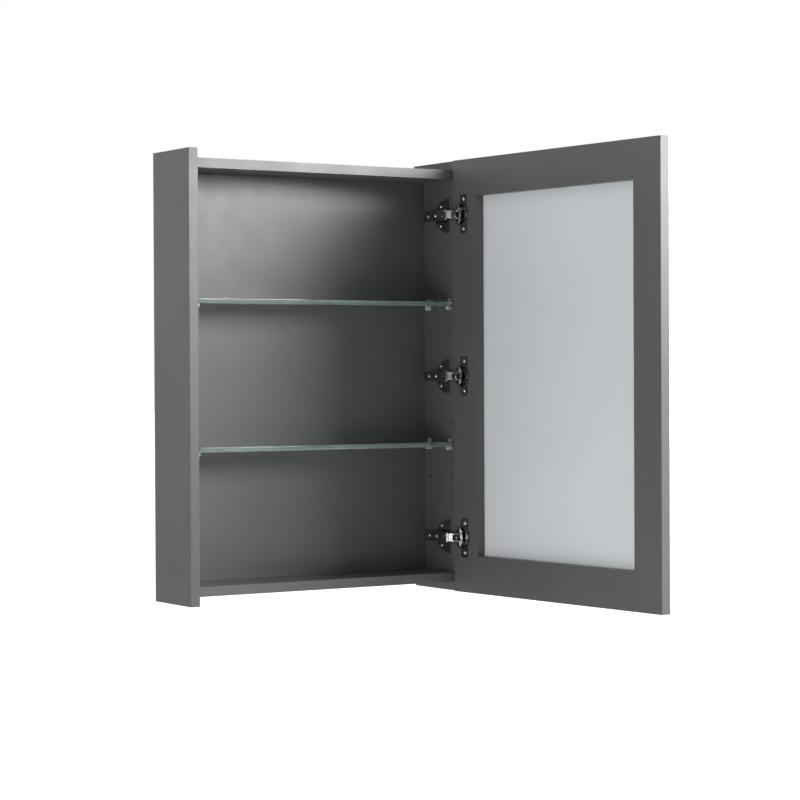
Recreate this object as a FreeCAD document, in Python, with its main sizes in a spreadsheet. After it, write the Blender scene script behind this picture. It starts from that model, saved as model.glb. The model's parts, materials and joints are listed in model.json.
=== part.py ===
import FreeCAD, Part
import Sketcher
import math
import os
import re

# Wall-hung mirror cabinet with one door on three concealed hinges, shown with the door open.
# Row frame: +X to the right seen from the front, +Y towards the wall, +Z up. The wall is the plane
# Y = 0 and the origin is midway between the two keyhole entries that the cabinet hangs from.
# Cabinet frame: x from the left side's outer face, y from the front edge, z from the bottom.
# Door frame: x from the hinge-side edge, y from the inner face into the door, z from the bottom.

App = FreeCAD
doc = App.newDocument("MirrorCabinet")
sheet = doc.addObject("Spreadsheet::Sheet", "Sizes")

SIZES = {
    # carcass
    "cabinetWide": 500, "cabinetTall": 700, "cabinetDeep": 120, "board": 15, "sideProud": 15,
    "hangHigh": 640, "backInset": 90, "railTall": 80,
    "dowelRadius": 4, "dowelLong": 28, "dowelInSide": 10, "dowelSlack": 0.05, "dowelBlind": 1,
    "dowelFront": 35, "dowelRear": 85, "railDowelOff": 22,
    # keyhole hanger plates let into the upper rear rail
    "hangerPitch": 400, "plateWide": 26, "plateTall": 58, "plateThin": 2, "entryRadius": 5,
    "slotRadius": 2.75, "slotRise": 12, "plateScrewOff": 25, "screwShank": 1.75, "screwHead": 3.5,
    "hangerScrewLong": 12, "recessWide": 15, "recessDeep": 10, "recessLow": 8, "recessHigh": 18,
    # glass shelves and their supports
    "glassThick": 8, "glassDeep": 85, "glassSetback": 3, "glassEndGap": 2.2, "glassChamfer": 0.7,
    "upperShelf": 463.4, "lowerShelf": 234.6, "holeFront": 12, "holeRear": 73, "holeRadius": 2.5,
    "holeDeep": 9, "spareAboveUpper": 513, "spareBelowUpper": 423, "spareAboveLower": 274.5,
    "spareBelowLower": 184.5, "clipWide": 5, "clipThin": 2,
    "clipRise": 5, "clipLip": 4, "tongueWide": 6.5, "tongueLong": 7, "tongueTall": 5,
    "pinRadius": 2.45, "pinLong": 8, "pinDrop": 2.6,
    # door
    "doorWide": 497, "doorTall": 700, "stile": 60, "tapeThin": 0.7, "tapeInset": 6, "tapeWide": 25,
    "tapeGap": 2,
    "filmThin": 0.3, "mirrorThick": 4, "openAngle": 93.6, "cornerAcross": 479.12,
    "cornerDeep": -5.41,
    # hinge heights
    "hingeLow": 88, "hingeMiddle": 350, "hingeHigh": 612,
    # hinge cup in the door
    "cupCentre": 22.5, "cupRadius": 17.5, "cupWall": 1, "cupDeep": 12.5, "cupFloor": 0.8,
    "flangeTall": 63, "flangeNear": 19.5, "flangeFar": 37, "flangeThin": 1.2, "rimRadius": 19,
    "flangeRound": 4, "cupScrewPitch": 48, "cupScrewRow": 28.5, "cupScrewLong": 12,
    "springNear": 21, "springLong": 15, "springWide": 9, "springThin": 0.6, "springCurl": 1.1,
    # hinge arm and mounting plate on the side panel
    "armLift": 18, "armThin": 1.2, "armHalf": 8.5, "armBack": 64, "armFront": 2, "armDrop": 9,
    "noseHalf": 7.8, "noseRadius": 2.5, "noseBack": 9, "noseLip": -1.2,
    "wingFront": 14, "wingDeep": 40, "wingTall": 56, "wingThin": 2, "railHalf": 6.5,
    "railFront": 22, "railBack": 62, "plateScrewRow": 38, "plateScrewPitch": 32,
    "depthScrewRow": 50, "overlayScrewRow": 29, "adjustHead": 3.3, "adjustShank": 2,
    "adjustLong": 9, "headThick": 1.6,
    # hinge pins, in the cabinet frame on the arm and in the door frame in the cup
    "innerPinAcross": 475.8, "innerPinDeep": -4.9, "outerPinAcross": 465, "outerPinDeep": -6,
    "innerCupAlong": 9.3, "innerCupInto": 6.95, "outerCupAlong": 13, "outerCupInto": 1.8,
    "hingePin": 1, "hingePinSlack": 0.05, "cupPinSkin": 0.1, "stubInside": 4.65,
    # links
    "innerHalf": 4.4, "linkHalf": 1, "knuckle": 2, "mouthAlong": 8.3, "mouthBefore": 2.35,
    "cheekInside": 4.8, "cheekOutside": 6.4, "bulgeAlong": 10.5, "bulgeDrop": 2.4,
    "bridgeLong": 9, "bridgeThin": 0.8,
    "slotHalf": 1.75, "slotRim": 0.8, "slotStart": 17.67, "slotDrop": 0.27, "forkLong": 22.2,
    "cutPast": 1,
}

for row, (alias, value) in enumerate(SIZES.items(), start=1):
    sheet.set("A%d" % row, alias)
    sheet.set("B%d" % row, str(value))
    sheet.setAlias("B%d" % row, alias)
doc.recompute()

HINGES = {"lower": "hingeLow", "middle": "hingeMiddle", "upper": "hingeHigh"}
nodes = []


def val(alias):
    return float(sheet.get(alias))


def expr(text):
    """An expression in which each size's name is read from the sheet."""
    return re.sub(r"[A-Za-z]+", lambda m: "Sizes." + m[0] if m[0] in SIZES else m[0], str(text))


def bind(obj, **sizes):
    for prop, text in sizes.items():
        obj.setExpression(prop.replace("_", "."), expr(text))
    return obj


def local(obj, x="0", y="0", z="0"):
    """Put a shape inside its own frame."""
    return bind(obj, Placement_Base_x=x, Placement_Base_y=y, Placement_Base_z=z)


def in_cabinet(obj, x="0", y="0", z="0"):
    """Put a finished shape, built in the cabinet frame, into the row frame."""
    return bind(obj, Placement_Base_x="%s - cabinetWide / 2" % x,
                Placement_Base_y="%s - cabinetDeep" % y, Placement_Base_z="%s - hangHigh" % z)


def in_door(obj):
    """Put a finished shape, built in the door frame, into the row frame with the door open."""
    obj.Placement.Rotation = App.Rotation(App.Vector(0, 0, 1), val("openAngle") - 180)
    bind(obj, Placement_Rotation_Angle="openAngle - 180")
    return bind(obj, Placement_Base_x="cornerAcross - cabinetWide / 2",
                Placement_Base_y="cornerDeep - cabinetDeep", Placement_Base_z="-hangHigh")


def node(obj, name):
    obj.Label = name
    nodes.append(obj)
    return obj


def box(name, length, width, height, x="0", y="0", z="0"):
    b = doc.addObject("Part::Box", name)
    bind(b, Length=length, Width=width, Height=height)
    return local(b, x, y, z)


def rod(name, radius, length, x, y, z, axis):
    """A cylinder from the point (x, y, z) along an axis such as +X or -Y."""
    c = doc.addObject("Part::Cylinder", name)
    turn = {"+X": ((0, 1, 0), 90), "-X": ((0, 1, 0), -90), "+Y": ((1, 0, 0), -90),
            "-Y": ((1, 0, 0), 90), "+Z": ((0, 0, 1), 0)}[axis]
    c.Placement.Rotation = App.Rotation(App.Vector(*turn[0]), turn[1])
    bind(c, Radius=radius, Height=length)
    return local(c, x, y, z)


def group(name, shapes):
    c = doc.addObject("Part::Compound", name)
    c.Links = shapes
    return c


def fuse(name, shapes):
    f = doc.addObject("Part::MultiFuse", name)
    f.Shapes = shapes
    return f


def cut(name, base, tools):
    c = doc.addObject("Part::Cut", name)
    c.Base = base
    c.Tool = tools[0] if len(tools) == 1 else fuse(name + "_tools", tools)
    return c


def formed(name, shape):
    """A shape made with Part's own functions in the cabinet frame."""
    f = doc.addObject("Part::Feature", name)
    f.Shape = shape
    return in_cabinet(f)


# Carcass.
INSIDE = "cabinetWide - 2 * board"
RAILS = {"upper_rear_rail": "cabinetTall - sideProud - board - railTall",
         "lower_rear_rail": "sideProud + board"}
PANELS = {"top_panel": "cabinetTall - sideProud - board", "bottom_panel": "sideProud"}


def dowel_places():
    """Middle of each dowel joint, as (y, z), the same at both ends of the boards."""
    places = []
    for level in PANELS.values():
        for y in ("dowelFront", "dowelRear"):
            places.append((y, "%s + board / 2" % level))
    for level in RAILS.values():
        for sign in ("-", "+"):
            places.append(("cabinetDeep - board / 2", "%s + railTall / 2 %s railDowelOff"
                           % (level, sign)))
    return places


def dowel_holes(name, places):
    """Blind holes in both side panels and in the ends of the boards between them."""
    holes = []
    for i, (y, z) in enumerate(places):
        for side, start in (("left", "board - dowelInSide - dowelBlind / 2"),
                            ("right", "cabinetWide - board + dowelInSide - dowelLong"
                                      " - dowelBlind / 2")):
            holes.append(rod("%s_%s%d" % (name, side, i), "dowelRadius",
                             "dowelLong + dowelBlind", start, y, z, "+X"))
    return holes


def support_holes(name, x, axis):
    """Blind holes for the supports in use, and a spare one above and below each of them."""
    levels = ("upperShelf - pinDrop", "lowerShelf - pinDrop", "spareAboveUpper", "spareBelowUpper",
              "spareAboveLower", "spareBelowLower")
    return [rod(name, "holeRadius", "holeDeep", x, y, z, axis)
            for z in levels for y in ("holeFront", "holeRear")]


def plate_screw_holes(name):
    return [rod(name, "screwShank", "cupScrewLong", "cabinetWide - board", "plateScrewRow",
                "%s %s plateScrewPitch / 2" % (level, sign), "+X")
            for level in HINGES.values() for sign in ("-", "+")]


left = box("left_board", "board", "cabinetDeep", "cabinetTall")
left = cut("left_side", left, dowel_holes("left_dowel", dowel_places())
           + support_holes("left_hole", "board", "-X"))
node(in_cabinet(left), "left_side_panel")

right = box("right_board", "board", "cabinetDeep", "cabinetTall", "cabinetWide - board")
right = cut("right_side", right, dowel_holes("right_dowel", dowel_places())
            + support_holes("right_hole", "cabinetWide - board", "+X")
            + plate_screw_holes("right_screw"))
node(in_cabinet(right), "right_side_panel")

for name, level in PANELS.items():
    panel = box(name + "_board", INSIDE, "cabinetDeep", "board", "board", "0", level)
    panel = cut(name + "_cut", panel, dowel_holes(name + "_dowel", dowel_places()))
    node(in_cabinet(panel), name)

back = box("back_board", INSIDE, "board", "cabinetTall - 2 * sideProud - 2 * board")
node(in_cabinet(back, "board", "backInset", "sideProud + board"), "back_panel")

dowels = []
for y, z in dowel_places():
    for start in ("board - dowelInSide", "cabinetWide - board + dowelInSide - dowelLong"):
        dowels.append(rod("dowel", "dowelRadius - dowelSlack", "dowelLong", start, y, z, "+X"))
node(in_cabinet(group("dowels", dowels)), "carcass_dowels")


# Hanger plates and the rail they are let into.
HANGERS = ("cabinetWide / 2 - hangerPitch / 2", "cabinetWide / 2 + hangerPitch / 2")


def keyhole_plate(i, x):
    front = "cabinetDeep - plateThin"
    plate = box("plate%d" % i, "plateWide", "plateThin", "plateTall", "%s - plateWide / 2" % x,
                front, "hangHigh - plateTall / 2")
    entry = rod("entry%d" % i, "entryRadius", "plateThin", x, front, "hangHigh", "+Y")
    seat = rod("seat%d" % i, "slotRadius", "plateThin", x, front, "hangHigh + slotRise", "+Y")
    neck = box("neck%d" % i, "2 * slotRadius", "plateThin", "slotRise", "%s - slotRadius" % x,
               front, "hangHigh")
    screws = [rod("plate_hole", "screwShank", "plateThin", x, front,
                  "hangHigh %s plateScrewOff" % sign, "+Y") for sign in ("-", "+")]
    return cut("keyhole%d" % i, plate, [entry, seat, neck] + screws)


def plate_recess(i, x):
    """The plate's own seat, and a deeper pocket behind the keyhole for the wall screw's head."""
    seat = box("plate_seat%d" % i, "plateWide", "plateThin", "plateTall", "%s - plateWide / 2" % x,
               "cabinetDeep - plateThin", "hangHigh - plateTall / 2")
    pocket = box("head_pocket%d" % i, "recessWide", "recessDeep", "recessLow + recessHigh",
                 "%s - recessWide / 2" % x, "cabinetDeep - recessDeep", "hangHigh - recessLow")
    screws = [rod("rail_hole", "screwShank", "hangerScrewLong", x, "cabinetDeep",
                  "hangHigh %s plateScrewOff" % sign, "-Y") for sign in ("-", "+")]
    return [seat, pocket] + screws


for name, level in RAILS.items():
    rail = box(name + "_board", INSIDE, "board", "railTall", "board", "cabinetDeep - board", level)
    tools = dowel_holes(name + "_dowel", dowel_places())
    if name == "upper_rear_rail":
        for i, x in enumerate(HANGERS):
            tools += plate_recess(i, x)
    node(in_cabinet(cut(name + "_cut", rail, tools)), name)

plates = [keyhole_plate(i, x) for i, x in enumerate(HANGERS)]
node(in_cabinet(group("plates", plates)), "hanger_plates")
hanger_screws = [rod("hanger_screw", "screwShank", "hangerScrewLong", x, "cabinetDeep",
                     "hangHigh %s plateScrewOff" % sign, "-Y")
                 for x in HANGERS for sign in ("-", "+")]
node(in_cabinet(group("hanger_screw_set", hanger_screws)), "hanger_screws")


# Glass shelves and their supports.
def glass_shelf(name, level):
    glass = box(name + "_glass", INSIDE + " - 2 * glassEndGap", "glassDeep", "glassThick",
                "board + glassEndGap", "glassSetback", level)
    doc.recompute()
    arris = doc.addObject("Part::Chamfer", name + "_arris")
    arris.Base = glass
    size = val("glassChamfer")
    arris.Edges = [(i + 1, size, size) for i in range(len(glass.Shape.Edges))]
    return arris


def support(name, level, y, x, into):
    """A clear support: pin in the side, round-topped back, tongue under the glass, lip over it."""
    sign = "-" if into == "-X" else "+"
    back_x = x if sign == "-" else x + " - clipThin"
    back = box(name + "_back", "clipThin", "clipWide", "tongueTall + glassThick + clipRise"
               " - clipWide / 2", back_x, "%s - clipWide / 2" % y, "%s - tongueTall" % level)
    crown = rod(name + "_crown", "clipWide / 2", "clipThin", back_x, y,
                "%s + glassThick + clipRise - clipWide / 2" % level, "+X")
    tongue_x = x if sign == "-" else x + " - tongueLong"
    tongue = box(name + "_tongue", "tongueLong", "tongueWide", "tongueTall", tongue_x,
                 "%s - tongueWide / 2" % y, "%s - tongueTall" % level)
    lip_x = x if sign == "-" else x + " - clipLip"
    lip = rod(name + "_lip", "clipWide / 2", "clipLip", lip_x, y,
              "%s + glassThick + clipRise - clipWide / 2" % level, "+X")
    foot = box(name + "_foot", "clipLip", "clipWide", "clipRise - clipWide / 2", lip_x,
               "%s - clipWide / 2" % y, "%s + glassThick" % level)
    pin = rod(name + "_pin", "pinRadius", "pinLong", x, y, "%s - pinDrop" % level, into)
    return fuse(name, [back, crown, tongue, lip, foot, pin])


for name, level in (("upper", "upperShelf"), ("lower", "lowerShelf")):
    node(in_cabinet(glass_shelf(name, level)), name + "_glass_shelf")
    clips = []
    for y in ("holeFront", "holeRear"):
        clips.append(support("%s_left_%s" % (name, y), level, y, "board", "-X"))
        clips.append(support("%s_right_%s" % (name, y), level, y, "cabinetWide - board", "+X"))
    node(in_cabinet(group(name + "_supports", clips)), name + "_shelf_supports")


# Door.
def cup_bore(name, level):
    return rod(name, "cupRadius", "cupDeep", "cupCentre", "0", level, "+Y")


def cup_screw_holes(name, level):
    return [rod(name, "screwShank", "cupScrewLong", "cupScrewRow", "0",
                "%s %s cupScrewPitch / 2" % (level, sign), "+Y") for sign in ("-", "+")]


def door_frame():
    body = doc.addObject("PartDesign::Body", "frame_body")
    floor = [f for f in body.Origin.OriginFeatures if f.Role == "XZ_Plane"][0]
    outline = rectangle(body, floor, "frame_outline", "0", "0", "doorWide", "doorTall")
    pad = body.newObject("PartDesign::Pad", "frame_pad")
    pad.Profile = outline
    pad.Reversed = True
    bind(pad, Length="board")
    doc.recompute()
    window = rectangle(body, floor, "frame_window", "stile", "stile", "doorWide - 2 * stile",
                       "doorTall - 2 * stile")
    pocket = body.newObject("PartDesign::Pocket", "frame_pocket")
    pocket.Profile = window
    pocket.Type = "ThroughAll"
    pocket.Midplane = True
    doc.recompute()
    body.Tip = pocket
    tools = []
    for name, level in HINGES.items():
        tools.append(cup_bore(name + "_bore", level))
        tools += cup_screw_holes(name + "_cup_hole", level)
    return cut("frame_cut", body, tools)


def rectangle(body, plane, name, x, z, wide, tall):
    """A sketch of one rectangle whose corner and size are bound to the sheet."""
    sketch = body.newObject("Sketcher::SketchObject", name)
    sketch.AttachmentSupport = [(plane, "")]
    sketch.MapMode = "FlatFace"
    corners = [App.Vector(1, 1, 0), App.Vector(9, 1, 0), App.Vector(9, 9, 0), App.Vector(1, 9, 0)]
    lines = [Part.LineSegment(corners[i], corners[(i + 1) % 4]) for i in range(4)]
    sketch.addGeometry(lines)
    for i in range(4):
        sketch.addConstraint(Sketcher.Constraint("Coincident", i, 2, (i + 1) % 4, 1))
    for i, way in enumerate(("Horizontal", "Vertical") * 2):
        sketch.addConstraint(Sketcher.Constraint(way, i))
    for key, kind, first, last, size in (("wide", "DistanceX", (0, 1), (0, 2), wide),
                                         ("tall", "DistanceY", (1, 1), (1, 2), tall),
                                         ("atX", "DistanceX", (-1, 1), (0, 1), x),
                                         ("atZ", "DistanceY", (-1, 1), (0, 1), z)):
        if size == "0":
            axis = -2 if kind == "DistanceX" else -1
            sketch.addConstraint(Sketcher.Constraint("PointOnObject", 0, 1, axis))
            continue
        i = sketch.addConstraint(Sketcher.Constraint(kind, *first, *last, 5.0))
        sketch.renameConstraint(i, key)
        sketch.setExpression("Constraints." + key, expr(size))
    return sketch


node(in_door(door_frame()), "door_frame")

tapes = []
for name, z in (("tape_low", "tapeInset"), ("tape_high", "doorTall - tapeInset - tapeWide")):
    tapes.append(box(name, "doorWide - 2 * tapeInset", "tapeThin", "tapeWide", "tapeInset",
                     "board", z))
for name, x in (("tape_near", "tapeInset"), ("tape_far", "doorWide - tapeInset - tapeWide")):
    tapes.append(box(name, "tapeWide", "tapeThin",
                     "doorTall - 2 * tapeInset - 2 * tapeWide - 2 * tapeGap", x, "board",
                     "tapeInset + tapeWide + tapeGap"))
node(in_door(group("tapes", tapes)), "mirror_adhesive")
film = box("film", "doorWide", "filmThin", "doorTall", "0", "board + tapeThin")
node(in_door(group("film_set", [film])), "mirror_backing")
mirror = box("mirror", "doorWide", "mirrorThick", "doorTall", "0", "board + tapeThin + filmThin")
node(in_door(group("mirror_set", [mirror])), "mirror_glass")


# Hinge cups, in the door frame.
def cup_pins(name, level):
    """The inner link's pin right across the cup, and a stub from each wall for the outer link."""
    pot = rod(name + "_reach", "cupRadius - cupPinSkin", "cupDeep", "cupCentre", "0", level, "+Y")
    low = "%s - cupRadius" % level
    pins = []
    for which, start, length in (("inner", low, "2 * cupRadius"),
                                 ("outer", low, "cupRadius - stubInside"),
                                 ("outer", level + " + stubInside", "cupRadius - stubInside")):
        pin = rod("%s_%s_pin" % (name, which), "hingePin", length, which + "CupAlong",
                  which + "CupInto", start, "+Z")
        trimmed = doc.addObject("Part::Common", name + "_trimmed")
        trimmed.Base = pin
        trimmed.Tool = pot
        pins.append(trimmed)
    return pins


def hinge_cup(name, level):
    wings = box(name + "_wings", "flangeFar - flangeNear", "flangeThin", "flangeTall",
                "flangeNear", "-flangeThin", "%s - flangeTall / 2" % level)
    doc.recompute()
    soft = doc.addObject("Part::Fillet", name + "_soft")
    soft.Base = wings
    upright = [i + 1 for i, e in enumerate(wings.Shape.Edges)
               if abs(e.tangentAt(e.FirstParameter).y) > 0.9]
    soft.Edges = [(i, val("flangeRound"), val("flangeRound")) for i in upright]
    rim = rod(name + "_rim", "rimRadius", "flangeThin", "cupCentre", "-flangeThin", level, "+Y")
    pot = rod(name + "_pot", "cupRadius", "cupDeep", "cupCentre", "0", level, "+Y")
    shell = fuse(name + "_shell", [soft, rim, pot])
    hollow = rod(name + "_hollow", "cupRadius - cupWall", "cupDeep + flangeThin - cupFloor",
                 "cupCentre", "-flangeThin", level, "+Y")
    holes = [rod(name + "_hole", "screwShank", "flangeThin", "cupScrewRow", "-flangeThin",
                 "%s %s cupScrewPitch / 2" % (level, sign), "+Y") for sign in ("-", "+")]
    return cut(name + "_cup", shell, [hollow] + holes + cup_pins(name + "_seat", level))


def leaf_spring(name, level):
    """The closing spring, a strip on the cup's floor with a raised rolled end."""
    floor = "cupDeep - cupFloor - springThin"
    strip = box(name + "_strip", "springLong", "springThin", "springWide", "springNear", floor,
                "%s - springWide / 2" % level)
    roll = rod(name + "_roll", "springCurl", "springWide", "springNear + springLong",
               "cupDeep - cupFloor - springCurl", "%s - springWide / 2" % level, "+Z")
    return fuse(name, [strip, roll])


cup_screws, cup_pin_set, springs = [], [], []
for name, level in HINGES.items():
    node(in_door(hinge_cup(name, level)), name + "_hinge_cup")
    for sign in ("-", "+"):
        z = "%s %s cupScrewPitch / 2" % (level, sign)
        head = rod("cup_head", "screwHead", "headThick", "cupScrewRow",
                   "-flangeThin - headThick", z, "+Y")
        shank = rod("cup_shank", "screwShank", "cupScrewLong + flangeThin", "cupScrewRow",
                    "-flangeThin", z, "+Y")
        cup_screws.append(fuse("cup_screw", [head, shank]))
    cup_pin_set += cup_pins(name + "_cup", level)
    springs.append(leaf_spring(name + "_spring", level))
node(in_door(group("cup_screw_set", cup_screws)), "cup_screws")
node(in_door(group("cup_pin_set", cup_pin_set)), "hinge_cup_pins")
node(in_door(group("spring_set", springs)), "hinge_springs")


# Mounting plates and arms, in the cabinet frame.
FACE = "cabinetWide - board"
WEB = FACE + " - armLift"


def ring_point(name):
    return App.Vector(val(name + "PinAcross"), val(name + "PinDeep"), 0)


def prism(points, low, high):
    """An upright prism over a closed outline of points."""
    wire = Part.makePolygon(points + [points[0]])
    solid = Part.Face(wire).extrude(App.Vector(0, 0, high - low))
    solid.translate(App.Vector(0, 0, low))
    return solid


def disc(centre, radius, low, high):
    return Part.makeCylinder(radius, high - low, centre + App.Vector(0, 0, low))


def bar(start, end, half, low, high):
    """A straight bar with square ends between two points of the plan."""
    along = (end - start).normalize()
    side = App.Vector(-along.y, along.x, 0) * half
    return prism([start + side, start - side, end - side, end + side], low, high)


def chain(points, half, low, high):
    """A bent bar of even width with round corners through the points of the plan."""
    solid = disc(points[0], half, low, high)
    for start, end in zip(points, points[1:]):
        solid = solid.fuse([bar(start, end, half, low, high), disc(end, half, low, high)])
    return solid


def mounting_plate(level):
    """A wing plate, half an ellipse with a straight front edge, and the rail that holds the arm."""
    face, height = val("cabinetWide") - val("board"), val(level)
    centre = App.Vector(face, val("wingFront"), height)
    ellipse = Part.Ellipse(centre + App.Vector(0, val("wingDeep"), 0),
                           centre + App.Vector(0, 0, val("wingTall") / 2), centre)
    arc = Part.ArcOfEllipse(ellipse, -math.pi / 2, math.pi / 2).toShape()
    ends = [v.Point for v in arc.Vertexes]
    wing = Part.Face(Part.Wire([arc, Part.LineSegment(ends[1], ends[0]).toShape()]))
    wing = wing.extrude(App.Vector(-val("wingThin"), 0, 0))
    half, top = val("railHalf"), val("armLift") - val("armThin")
    rail = Part.makeBox(top, val("railBack") - val("railFront"), 2 * half,
                        App.Vector(face - top, val("railFront"), height - half))
    out = App.Vector(-1, 0, 0)
    plate = wing.fuse(rail).removeSplitter()
    for sign in (-1, 1):
        at = App.Vector(face, val("plateScrewRow"), height + sign * val("plateScrewPitch") / 2)
        plate = plate.cut(Part.makeCylinder(val("screwShank"), val("wingThin"), at, out))
    for row in ("depthScrewRow", "overlayScrewRow"):
        at = App.Vector(face - top, val(row), height)
        plate = plate.cut(Part.makeCylinder(val("adjustShank"), val("adjustLong"), at, -out))
    return plate


def hinge_arm(level):
    """A pressed channel over the plate's rail, with two cheeks that carry the pins at its nose."""
    web, height = val("cabinetWide") - val("board") - val("armLift"), val(level)
    half, thin, drop = val("armHalf"), val("armThin"), val("armDrop")
    front, back = val("armFront"), val("armBack")
    outer = Part.makeBox(drop, back - front, 2 * half, App.Vector(web, front, height - half))
    inner = Part.makeBox(drop, back - front, 2 * (half - thin),
                         App.Vector(web + thin, front, height - half + thin))
    arm = outer.cut(inner)
    outer_pin, inner_pin = ring_point("outer"), ring_point("inner")
    root = App.Vector(web, val("noseBack"), 0)
    nose, radius = val("noseHalf"), val("noseRadius")
    for low, step_low, step_high in ((height - nose, height - half, height - nose + thin),
                                     (height + nose - thin, height + nose - thin, height + half)):
        high = low + thin
        cheek = prism([root, App.Vector(web + drop, root.y, 0),
                       inner_pin + App.Vector(radius, 0, 0), inner_pin + App.Vector(0, -radius, 0),
                       outer_pin + App.Vector(0, -radius, 0),
                       outer_pin + App.Vector(-radius, 0, 0)], low, high)
        step = prism([root, App.Vector(web + drop, root.y, 0), App.Vector(web + drop, front, 0),
                      App.Vector(web, front, 0)], step_low, step_high)
        arm = arm.fuse([cheek, disc(outer_pin, radius, low, high),
                        disc(inner_pin, radius, low, high), step])
    # the web slopes on past the channel, as far as the cup leaves room when the door is closed
    edge = outer_pin + App.Vector(-radius, 0, 0)
    lip = root + (edge - root) * ((root.y - val("noseLip")) / (root.y - edge.y))
    across = App.Vector(thin, 0, 0)
    arm = arm.fuse(prism([root, root + across, lip + across, lip], height - nose, height + nose))
    for pin in (outer_pin, inner_pin):
        arm = arm.cut(disc(pin, val("hingePin"), height - half, height + half))
    for row in ("depthScrewRow", "overlayScrewRow"):
        at = App.Vector(web, val(row), height)
        arm = arm.cut(Part.makeCylinder(val("adjustShank"), thin, at, App.Vector(1, 0, 0)))
    return arm.removeSplitter()


arm_pins, plate_screws, depth_screws, overlay_screws = [], [], [], []
for name, level in HINGES.items():
    node(formed(name + "_plate", mounting_plate(level)), name + "_mounting_plate")
    node(formed(name + "_arm", hinge_arm(level)), name + "_hinge_arm")
    for which in ("outer", "inner"):
        arm_pins.append(rod(name + "_arm_pin", "hingePin", "2 * noseHalf", which + "PinAcross",
                            which + "PinDeep", level + " - noseHalf", "+Z"))
    for sign in ("-", "+"):
        z = "%s %s plateScrewPitch / 2" % (level, sign)
        head = rod("plate_head", "screwHead", "headThick", FACE + " - wingThin - headThick",
                   "plateScrewRow", z, "+X")
        shank = rod("plate_shank", "screwShank", "cupScrewLong + wingThin", FACE + " - wingThin",
                    "plateScrewRow", z, "+X")
        plate_screws.append(fuse("plate_screw", [head, shank]))
    for kind, screws in (("depth", depth_screws), ("overlay", overlay_screws)):
        head = rod(kind + "_head", "adjustHead", "headThick", WEB + " - headThick",
                   kind + "ScrewRow", level, "+X")
        shank = rod(kind + "_shank", "adjustShank", "adjustLong", WEB, kind + "ScrewRow", level,
                    "+X")
        screws.append(fuse(kind + "_screw", [head, shank]))
node(in_cabinet(group("arm_pin_set", arm_pins)), "hinge_arm_pins")
node(in_cabinet(group("plate_screw_set", plate_screws)), "plate_screws")
node(in_cabinet(group("depth_screw_set", depth_screws)), "depth_screws")
node(in_cabinet(group("overlay_screw_set", overlay_screws)), "overlay_screws")


# Links, in the cabinet frame at the open pose.
def door_point(along, into):
    """A point of the door frame's plan, seen in the cabinet frame."""
    turn = math.radians(val("openAngle") - 180)
    c, s = math.cos(turn), math.sin(turn)
    return App.Vector(val("cornerAcross") + c * along - s * into,
                      val("cornerDeep") + s * along + c * into, 0)


def inner_link(level):
    """The narrow link, bent to reach round the cup's rim, with a barrel on each of its pins."""
    height, reach = val(level), val("innerHalf")
    low, high = height - reach, height + reach
    arm_pin = ring_point("inner")
    cup_pin = door_point(val("innerCupAlong"), val("innerCupInto"))
    mouth = door_point(val("mouthAlong"), -val("mouthBefore"))
    link = chain([arm_pin, mouth, cup_pin], val("linkHalf"), low, high)
    bore = val("hingePin") + val("hingePinSlack")
    for pin in (arm_pin, cup_pin):
        link = link.fuse(disc(pin, val("knuckle"), low, high))
    for pin in (arm_pin, cup_pin):
        link = link.cut(disc(pin, bore, low, high))
    return link.removeSplitter()


def outer_link(level):
    """Two curved cheeks outside the inner link, joined by a barrel on the arm's pin.

    The far ends are forks, open at the tip, because that pivot is the open one of the linkage."""
    height, rim = val(level), val("slotHalf") + val("slotRim")
    inside, outside = val("cheekInside"), val("cheekOutside")
    arm_pin = ring_point("outer")
    cup_pin = door_point(val("outerCupAlong"), val("outerCupInto"))
    along = (cup_pin - arm_pin).normalize()
    side = App.Vector(-along.y, along.x, 0)
    bulge = arm_pin + along * val("bulgeAlong") - side * val("bulgeDrop")
    start = arm_pin + along * val("slotStart") - side * val("slotDrop")
    tip = arm_pin + along * val("forkLong") - side * val("slotDrop")
    link = disc(arm_pin, val("knuckle"), height - outside, height + outside)
    for low, high in ((height - outside, height - inside), (height + inside, height + outside)):
        cheek = chain([arm_pin, bulge, start], val("linkHalf"), low, high)
        cheek = cheek.fuse([disc(start, rim, low, high), bar(start, tip, rim, low, high)])
        slot = chain([start, tip + along * val("cutPast")], val("slotHalf"), low, high)
        link = link.fuse(cheek.cut(slot))
    # a bridge between the cheeks, on the side away from the inner link
    slope = (bulge - arm_pin).normalize()
    thin = val("bridgeThin")
    shift = App.Vector(slope.y, -slope.x, 0) * (val("linkHalf") - thin / 2)
    bridge = bar(arm_pin + shift, arm_pin + shift + slope * val("bridgeLong"), thin / 2,
                 height - outside, height + outside)
    bore = val("hingePin") + val("hingePinSlack")
    link = link.fuse(bridge)
    link = link.cut(disc(arm_pin, bore, height - outside, height + outside))
    return link.removeSplitter()


for name, level in HINGES.items():
    node(formed(name + "_outer", outer_link(level)), name + "_outer_link")
    node(formed(name + "_inner", inner_link(level)), name + "_inner_link")


# Check and write.
doc.recompute()
problems = ["%s is %s" % (o.Label, o.State) for o in doc.Objects
            if "Invalid" in o.State or "Error" in o.State]
problems += ["%s has no valid shape" % o.Label for o in nodes
             if o.Shape.isNull() or not o.Shape.isValid()]
if problems:
    raise RuntimeError("; ".join(problems))
os.makedirs("parts", exist_ok=True)
for o in nodes:
    o.Shape.exportStep("parts/%s.step" % o.Label)
    print("%-22s %2d solids %10.0f mm3" % (o.Label, len(o.Shape.Solids), o.Shape.Volume))
print(len(nodes), "nodes")
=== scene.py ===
import bmesh
import bpy
import json
import math
from mathutils import Matrix, Vector


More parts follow.
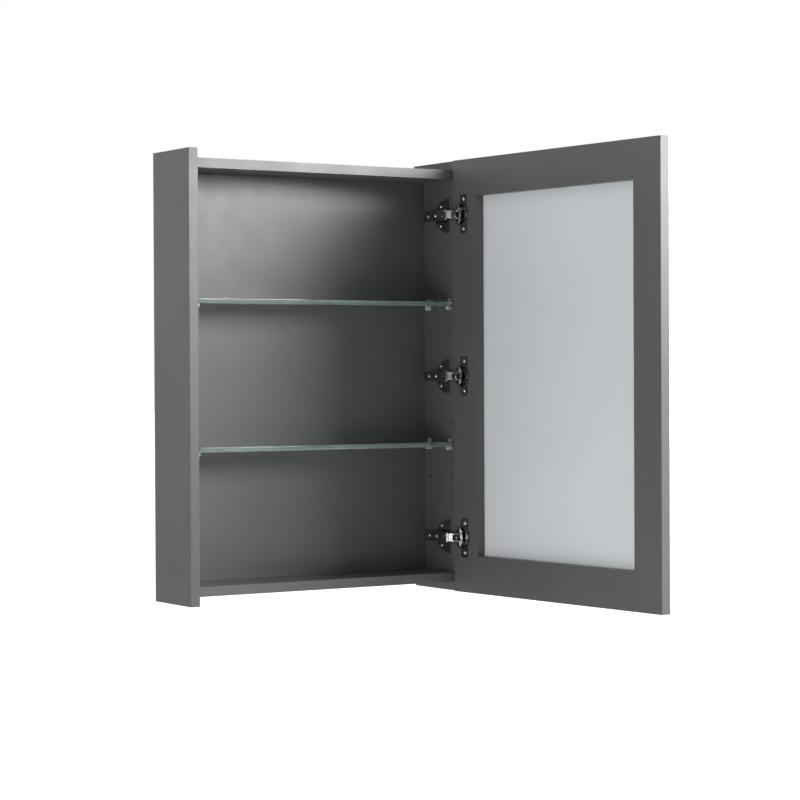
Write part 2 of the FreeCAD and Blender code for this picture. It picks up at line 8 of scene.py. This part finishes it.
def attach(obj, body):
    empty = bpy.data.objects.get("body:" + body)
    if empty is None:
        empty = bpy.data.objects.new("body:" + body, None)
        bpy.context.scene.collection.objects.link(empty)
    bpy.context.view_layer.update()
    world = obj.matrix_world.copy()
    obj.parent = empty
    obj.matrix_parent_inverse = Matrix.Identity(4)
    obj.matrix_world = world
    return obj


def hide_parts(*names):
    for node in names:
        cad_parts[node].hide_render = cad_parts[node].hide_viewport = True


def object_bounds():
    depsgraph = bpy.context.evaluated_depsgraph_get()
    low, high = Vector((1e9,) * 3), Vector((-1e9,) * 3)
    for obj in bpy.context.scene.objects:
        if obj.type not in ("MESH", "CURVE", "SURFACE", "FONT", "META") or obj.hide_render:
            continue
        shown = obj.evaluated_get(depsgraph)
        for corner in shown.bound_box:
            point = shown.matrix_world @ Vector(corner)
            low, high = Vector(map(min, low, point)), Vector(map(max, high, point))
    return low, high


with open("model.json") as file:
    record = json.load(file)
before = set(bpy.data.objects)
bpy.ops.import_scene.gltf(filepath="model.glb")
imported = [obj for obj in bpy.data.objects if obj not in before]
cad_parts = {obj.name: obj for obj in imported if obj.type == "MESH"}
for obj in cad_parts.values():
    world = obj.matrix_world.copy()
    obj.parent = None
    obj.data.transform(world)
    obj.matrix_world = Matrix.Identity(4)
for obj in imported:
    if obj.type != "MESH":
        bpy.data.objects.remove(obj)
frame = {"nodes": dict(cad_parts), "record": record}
nodes = frame["nodes"]
bodyOf = {node: body for body, held in frame["record"]["behaviour"]["bodies"].items() for node in held}
slotOf = {entry["node"]: entry["material_slot"] for entry in frame["record"]["subparts"]}
low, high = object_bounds()
print("frame loaded,", len(nodes), "nodes")


# materials: each helper returns a fresh material, its tree's nodes and its shader

def newMaterial(name):
    material = bpy.data.materials.new(name)
    material.use_nodes = True
    tree = material.node_tree
    return material, tree, tree.nodes["Principled BSDF"]


def addNode(tree, kind, **settings):
    node = tree.nodes.new(kind)
    for name, value in settings.items():
        setattr(node, name, value)
    return node


def objectPattern(tree, scale, detail=3.0, stretch=(1, 1, 1), roughness=0.55):
    # a noise in metres on the object's own coordinates
    place = addNode(tree, "ShaderNodeTexCoord")
    mapping = addNode(tree, "ShaderNodeMapping")
    mapping.inputs["Scale"].default_value = stretch
    noise = addNode(tree, "ShaderNodeTexNoise")
    noise.inputs["Scale"].default_value = scale
    noise.inputs["Detail"].default_value = detail
    noise.inputs["Roughness"].default_value = roughness
    tree.links.new(place.outputs["Object"], mapping.inputs["Vector"])
    tree.links.new(mapping.outputs["Vector"], noise.inputs["Vector"])
    return noise.outputs["Fac"]


def colourBetween(tree, factor, first, second, start=0.35, end=0.65):
    ramp = addNode(tree, "ShaderNodeValToRGB")
    ramp.color_ramp.elements[0].position = start
    ramp.color_ramp.elements[0].color = (*first, 1)
    ramp.color_ramp.elements[1].position = end
    ramp.color_ramp.elements[1].color = (*second, 1)
    tree.links.new(factor, ramp.inputs["Fac"])
    return ramp.outputs["Color"]


def numberBetween(tree, factor, first, second):
    ranged = addNode(tree, "ShaderNodeMapRange")
    ranged.inputs["From Min"].default_value = 0.3
    ranged.inputs["From Max"].default_value = 0.7
    ranged.inputs["To Min"].default_value = first
    ranged.inputs["To Max"].default_value = second
    tree.links.new(factor, ranged.inputs["Value"])
    return ranged.outputs["Result"]


def addBump(tree, shader, height, strength, distance):
    bump = addNode(tree, "ShaderNodeBump")
    bump.inputs["Strength"].default_value = strength
    bump.inputs["Distance"].default_value = distance
    tree.links.new(height, bump.inputs["Height"])
    tree.links.new(bump.outputs["Normal"], shader.inputs["Normal"])


def finishMaterial(name, dark, light, rough, patch=5.0, grain=600.0, bump=0.1, depth=0.0002,
                   metal=0.0, stretch=(1, 1, 1), **constants):
    # colour drifts in broad patches, gloss in smaller ones, and a fine grain stands in relief
    material, tree, shader = newMaterial(name)
    broad = objectPattern(tree, patch, 4.0, stretch)
    middle = objectPattern(tree, patch * 7, 3.0, stretch)
    fine = objectPattern(tree, grain, 2.0, stretch)
    tree.links.new(colourBetween(tree, broad, dark, light), shader.inputs["Base Color"])
    tree.links.new(numberBetween(tree, middle, *rough), shader.inputs["Roughness"])
    addBump(tree, shader, fine, bump, depth)
    shader.inputs["Metallic"].default_value = metal
    for socket, value in constants.items():
        shader.inputs[socket.replace("_", " ")].default_value = value
    return material


lacquerLook = {"dark": (0.094, 0.094, 0.098), "light": (0.108, 0.108, 0.113), "rough": (0.39, 0.45),
               "patch": 4.0, "grain": 900.0, "bump": 0.12, "depth": 0.00012}
finishes = {
    "cabinet_lacquer": finishMaterial("satinGreyLacquer", **lacquerLook),
    "mirror_back": finishMaterial("mirrorBackPaint", (0.72, 0.75, 0.77), (0.77, 0.80, 0.82),
                                  (0.3, 0.42), patch=3.0, grain=500.0, bump=0.05, depth=0.0001),
    "hinge_nickel": finishMaterial("hingeNickel", (0.30, 0.295, 0.29), (0.42, 0.415, 0.40),
                                   (0.06, 0.15), patch=60.0, grain=2500.0, bump=0.08,
                                   depth=0.00003, metal=1.0),
    "screw_steel": finishMaterial("screwSteel", (0.5, 0.5, 0.49), (0.64, 0.63, 0.62), (0.18, 0.3),
                                  patch=90.0, grain=3000.0, bump=0.12, depth=0.00004, metal=1.0),
    "pin_steel": finishMaterial("pinSteel", (0.4, 0.4, 0.4), (0.5, 0.5, 0.5), (0.22, 0.34),
                                patch=90.0, grain=3000.0, metal=1.0, depth=0.00004),
    "zinc_plate": finishMaterial("zincPlate", (0.46, 0.48, 0.5), (0.62, 0.64, 0.66), (0.3, 0.5),
                                 patch=70.0, grain=1500.0, bump=0.2, depth=0.00005, metal=1.0),
    "dowel_wood": finishMaterial("beechDowel", (0.42, 0.28, 0.16), (0.62, 0.45, 0.28), (0.5, 0.7),
                                 patch=40.0, grain=800.0, bump=0.3, stretch=(0.1, 1, 1)),
    "adhesive_tape": finishMaterial("foamTape", (0.02, 0.02, 0.022), (0.04, 0.04, 0.042),
                                    (0.7, 0.9), patch=50.0, grain=1800.0, bump=0.5),
    "support_plastic": finishMaterial("clearSupport", (0.86, 0.88, 0.9), (0.94, 0.95, 0.96),
                                      (0.1, 0.22), patch=80.0, grain=1200.0, bump=0.08,
                                      Transmission_Weight=0.4, IOR=1.49),
    "shelf_glass": finishMaterial("shelfGlass", (0.93, 0.98, 0.965), (0.95, 0.99, 0.975),
                                  (0.003, 0.007), patch=6.0, grain=60.0, bump=0.02, depth=0.00001,
                                  Transmission_Weight=1.0, IOR=1.5),
    "mirror_face": finishMaterial("silveredMirror", (0.84, 0.86, 0.86), (0.88, 0.9, 0.9),
                                  (0.0, 0.025), patch=3.0, grain=40.0, bump=0.01, metal=1.0),
}
glassEdge = finishMaterial("polishedGlassEdge", (0.52, 0.67, 0.62), (0.62, 0.76, 0.71),
                           (0.05, 0.07), patch=12.0, grain=400.0, bump=0.02, depth=0.00001,
                           Transmission_Weight=0.82, IOR=1.5)
mirrorEdge = finishMaterial("polishedMirrorEdge", (0.55, 0.63, 0.61), (0.68, 0.75, 0.73),
                            (0.12, 0.22), patch=12.0, grain=400.0, bump=0.05)
print("materials made,", len(finishes) + 2)


# pieces

def keepPiece(bm, name, node, materials):
    # a finished mesh stands for its CAD node, on the same body
    mesh = bpy.data.meshes.new(name)
    bm.to_mesh(mesh)
    bm.free()
    piece = bpy.data.objects.new(name, mesh)
    bpy.context.scene.collection.objects.link(piece)
    for material in materials:
        mesh.materials.append(material)
    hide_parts(node)
    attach(piece, bodyOf[node])


def softened(node, edge, segments, sharpest=30.0, flatOver=4e-6):
    # a merged copy of a CAD node with its hard edges rolled over
    bm = bmesh.new()
    bm.from_mesh(nodes[node].data)
    bmesh.ops.remove_doubles(bm, verts=bm.verts, dist=1e-6)
    bmesh.ops.dissolve_limit(bm, angle_limit=math.radians(0.5), verts=bm.verts, edges=bm.edges,
                             use_dissolve_boundaries=False, delimit={"NORMAL"})
    hard = [side for side in bm.edges
            if len(side.link_faces) == 2 and side.calc_face_angle(0) > math.radians(sharpest)]
    bmesh.ops.bevel(bm, geom=hard, offset=edge, offset_type="OFFSET", affect="EDGES",
                    segments=segments, profile=0.5, material=-1, clamp_overlap=True)
    for face in bm.faces:
        face.smooth = face.calc_area() < flatOver
    return bm


boards = {"edge": 0.0007, "segments": 3}
boardNodes = ["left_side_panel", "right_side_panel", "top_panel", "bottom_panel", "back_panel",
              "upper_rear_rail", "lower_rear_rail", "door_frame"]
for node in boardNodes:
    keepPiece(softened(node, **boards), node + "_board", node, [finishes["cabinet_lacquer"]])
print("boards rounded")

# the flat faces of the glass carry the first material and the ground edges the second
flatFace = 0.9
glassShelf = {"edge": 0.0003, "segments": 2}
for node in ("upper_glass_shelf", "lower_glass_shelf"):
    bm = softened(node, **glassShelf)
    for face in bm.faces:
        face.material_index = 0 if abs(face.normal.z) > flatFace else 1
    keepPiece(bm, node + "_pane", node, [finishes["shelf_glass"], glassEdge])

# the door stands open by 3.6 degrees more than a right angle, so its mirror faces this way
doorLean = math.radians(3.6)
mirrorWay = Vector((math.cos(doorLean), math.sin(doorLean), 0))
mirror = {"edge": 0.0006, "segments": 3}
bm = softened("mirror_glass", **mirror)
for face in bm.faces:
    face.material_index = 0 if face.normal.dot(mirrorWay) > flatFace else 1
keepPiece(bm, "mirror_pane", "mirror_glass", [finishes["mirror_face"], mirrorEdge])
print("glass made")

for name, node in nodes.items():
    node.data.materials.clear()
    node.data.materials.append(finishes[slotOf[name]])

pressed = {"edge": 0.00025, "segments": 2, "flatOver": 2e-6}
for height in ("upper", "middle", "lower"):
    for part in ("hinge_cup", "hinge_arm", "mounting_plate", "outer_link", "inner_link"):
        node = height + "_" + part
        keepPiece(softened(node, **pressed), node + "_pressing", node, [finishes["hinge_nickel"]])

moulded = {"edge": 0.0004, "segments": 2}
for node in ("upper_shelf_supports", "lower_shelf_supports"):
    keepPiece(softened(node, **moulded), node + "_moulding", node, [finishes["support_plastic"]])

stamped = {"edge": 0.0003, "segments": 2}
keepPiece(softened("hanger_plates", **stamped), "hanger_plates_pressing", "hanger_plates",
          [finishes["zinc_plate"]])
print("hinges and supports made")


def islandsOf(node):
    # the corner points of each separate solid of a node
    bm = bmesh.new()
    bm.from_mesh(nodes[node].data)
    bmesh.ops.remove_doubles(bm, verts=bm.verts, dist=1e-6)
    islands = []
    found = set()
    for start in bm.verts:
        if start in found:
            continue
        island = [start]
        found.add(start)
        for vert in island:
            for edge in vert.link_edges:
                other = edge.other_vert(vert)
                if other not in found:
                    found.add(other)
                    island.append(other)
        islands.append([vert.co.copy() for vert in island])
    bm.free()
    return islands


def turnedScrew(length, head, shank, headTall):
    # a pan head over a round shank, spun about Z with the top of the head at zero
    screw = bmesh.new()
    dome = panHead["dome"]
    outline = [(0, 0), (panHead["hub"], 0), (panHead["wing"], 0.03 * dome), (0.75 * head, 0.25 * dome),
               (0.93 * head, 0.6 * dome), (head, dome), (head, headTall), (shank, headTall),
               (shank, length - 0.5 * shank), (0.45 * shank, length), (0, length)]
    verts = [screw.verts.new((radius, 0, depth)) for radius, depth in outline]
    edges = [screw.edges.new(pair) for pair in zip(verts, verts[1:])]
    bmesh.ops.spin(screw, geom=verts + edges, axis=(0, 0, 1), cent=(0, 0, 0), steps=panHead["steps"],
                   angle=math.tau, use_merge=True)
    bmesh.ops.remove_doubles(screw, verts=screw.verts, dist=1e-7)
    for face in screw.faces:
        face.smooth = True
    return screw


def sinkCross(screw):
    # the hub and four wings of the flat top go down and narrow towards the bottom
    cross = []
    for face in screw.faces:
        spot = face.calc_center_median()
        reach = math.hypot(spot.x, spot.y)
        quarter = math.degrees(math.atan2(spot.y, spot.x)) % 90
        inWing = quarter < panHead["wingTurn"] or quarter > 90 - panHead["wingTurn"]
        inCross = reach < panHead["hub"] or (reach < panHead["wing"] and inWing)
        if inCross and spot.z < 0.05 * panHead["dome"]:
            cross.append(face)
    sunk = bmesh.ops.extrude_face_region(screw, geom=cross)
    bmesh.ops.delete(screw, geom=cross, context="FACES_ONLY")
    bottom = [item for item in sunk["geom"] if isinstance(item, bmesh.types.BMVert)]
    floors = [item for item in sunk["geom"] if isinstance(item, bmesh.types.BMFace)]
    bmesh.ops.translate(screw, verts=bottom, vec=(0, 0, panHead["recess"]))
    bmesh.ops.scale(screw, verts=bottom, vec=(panHead["taper"], panHead["taper"], 1))
    for vert in bottom:
        for face in vert.link_faces:
            face.smooth = face in floors


def addScrew(bm, points, axis, head, shank, headTall):
    # a screw as long as the CAD solid whose points are given, pointing along the axis
    along = [point.dot(axis) for point in points]
    middle = sum(points, Vector()) / len(points)
    top = middle + axis * (min(along) - middle.dot(axis))
    screw = turnedScrew(max(along) - min(along), head, shank, headTall)
    sinkCross(screw)
    turn = Vector((0, 0, 1)).rotation_difference(axis).to_matrix().to_4x4()
    bmesh.ops.transform(screw, matrix=Matrix.Translation(top) @ turn, verts=screw.verts)
    bmesh.ops.recalc_face_normals(screw, faces=screw.faces)
    made = bpy.data.meshes.new("screw")
    screw.to_mesh(made)
    screw.free()
    bm.from_mesh(made)
    bpy.data.meshes.remove(made)


panHead = {"steps": 32, "dome": 0.0012, "hub": 0.0006, "wing": 0.0019, "wingTurn": 16, "recess": 0.0008,
           "taper": 0.75}
intoSide = Vector((1, 0, 0))
woodScrew = {"head": 0.0035, "shank": 0.00175, "headTall": 0.0016}
adjustScrew = {"head": 0.0033, "shank": 0.002, "headTall": 0.0016}
screwSets = {
    "cup_screws": {"axis": mirrorWay, **woodScrew},
    "plate_screws": {"axis": intoSide, **woodScrew},
    "depth_screws": {"axis": intoSide, **adjustScrew},
    "overlay_screws": {"axis": intoSide, **adjustScrew},
}
for node, sizes in screwSets.items():
    bm = bmesh.new()
    for points in islandsOf(node):
        addScrew(bm, points, **sizes)
    keepPiece(bm, node + "_turned", node, [finishes["screw_steel"]])
print("screws turned")


# floor, light and camera
room = {"floorBelow": 0.22, "floorSize": 30.0, "floorGlow": 0.9, "frontSky": 0.12, "backSky": 1.0}
bm = bmesh.new()
bmesh.ops.create_grid(bm, x_segments=1, y_segments=1, size=room["floorSize"])
bmesh.ops.translate(bm, verts=bm.verts, vec=(0, 0, low.z - room["floorBelow"]))
mesh = bpy.data.meshes.new("studioFloor")
bm.to_mesh(mesh)
bm.free()
floor = bpy.data.objects.new("studioFloor", mesh)
bpy.context.scene.collection.objects.link(floor)
paleFloor = finishMaterial("paleFloor", (0.6, 0.6, 0.6), (0.63, 0.63, 0.63), (0.8, 0.9),
                           Emission_Color=(1, 1, 1, 1))
tree = paleFloor.node_tree
looked = addNode(tree, "ShaderNodeLightPath")
glow = addNode(tree, "ShaderNodeMath", operation="MULTIPLY")
glow.inputs[1].default_value = room["floorGlow"]
tree.links.new(looked.outputs["Is Camera Ray"], glow.inputs[0])
tree.links.new(glow.outputs["Value"], tree.nodes["Principled BSDF"].inputs["Emission Strength"])
mesh.materials.append(paleFloor)

# the room is dimmer in front of the cabinet than behind it, and the backdrop itself is white
world = bpy.data.worlds.new("studio")
bpy.context.scene.world = world
world.use_nodes = True
sky = world.node_tree
place = addNode(sky, "ShaderNodeTexCoord")
parts = addNode(sky, "ShaderNodeSeparateXYZ")
ranged = addNode(sky, "ShaderNodeMapRange")
seen = addNode(sky, "ShaderNodeLightPath")
mix = addNode(sky, "ShaderNodeMix", data_type="FLOAT")
ranged.inputs["From Min"].default_value = -1.0
ranged.inputs["To Min"].default_value = room["frontSky"]
ranged.inputs["To Max"].default_value = room["backSky"]
mix.inputs["B"].default_value = 1.0
sky.links.new(place.outputs["Generated"], parts.inputs["Vector"])
sky.links.new(parts.outputs["Y"], ranged.inputs["Value"])
sky.links.new(ranged.outputs["Result"], mix.inputs["A"])
sky.links.new(seen.outputs["Is Camera Ray"], mix.inputs["Factor"])
sky.links.new(mix.outputs["Result"], sky.nodes["Background"].inputs["Strength"])
sky.nodes["Background"].inputs["Color"].default_value = (1, 1, 1, 1)

# the glint light only shows in glossy surfaces, and gives the hinge metal its highlights
softboxes = {
    "keyLight": {"place": (1.02, -1.85, 0.42), "aim": (-0.1, -0.1, -0.25), "size": 0.8, "watts": 68},
    "sideLight": {"place": (-2.4, -0.7, -1.1), "aim": (0.1, -0.2, -0.3), "size": 1.2, "watts": 70},
    "glintLight": {"place": (-1.6, -1.2, 0.2), "aim": (0.2, -0.1, -0.3), "size": 1.0, "watts": 1.5},
}
for name, box in softboxes.items():
    data = bpy.data.lights.new(name, "AREA")
    data.size = box["size"]
    data.energy = box["watts"]
    light = bpy.data.objects.new(name, data)
    bpy.context.scene.collection.objects.link(light)
    light.location = box["place"]
    towards = Vector(box["aim"]) - Vector(box["place"])
    light.rotation_euler = towards.to_track_quat("-Z", "Y").to_euler()
    light.visible_camera = False
    light.visible_diffuse = name != "glintLight"

view = {"place": (-1.926, -3.332, -0.286), "heading": 32.606, "tilt": -0.63, "roll": -0.27,
        "lens": 106.85}
cameraData = bpy.data.cameras.new("camera")
cameraData.lens = view["lens"]
cameraData.sensor_width = 36.0
cameraData.clip_end = 100.0
camera = bpy.data.objects.new("camera", cameraData)
bpy.context.scene.collection.objects.link(camera)
camera.matrix_world = (Matrix.Translation(view["place"])
                       @ Matrix.Rotation(math.radians(-view["heading"]), 4, "Z")
                       @ Matrix.Rotation(math.radians(90 + view["tilt"]), 4, "X")
                       @ Matrix.Rotation(math.radians(view["roll"]), 4, "Z"))
bpy.context.scene.camera = camera
bpy.context.scene.view_settings.view_transform = "Standard"
print("floor, light and camera set")
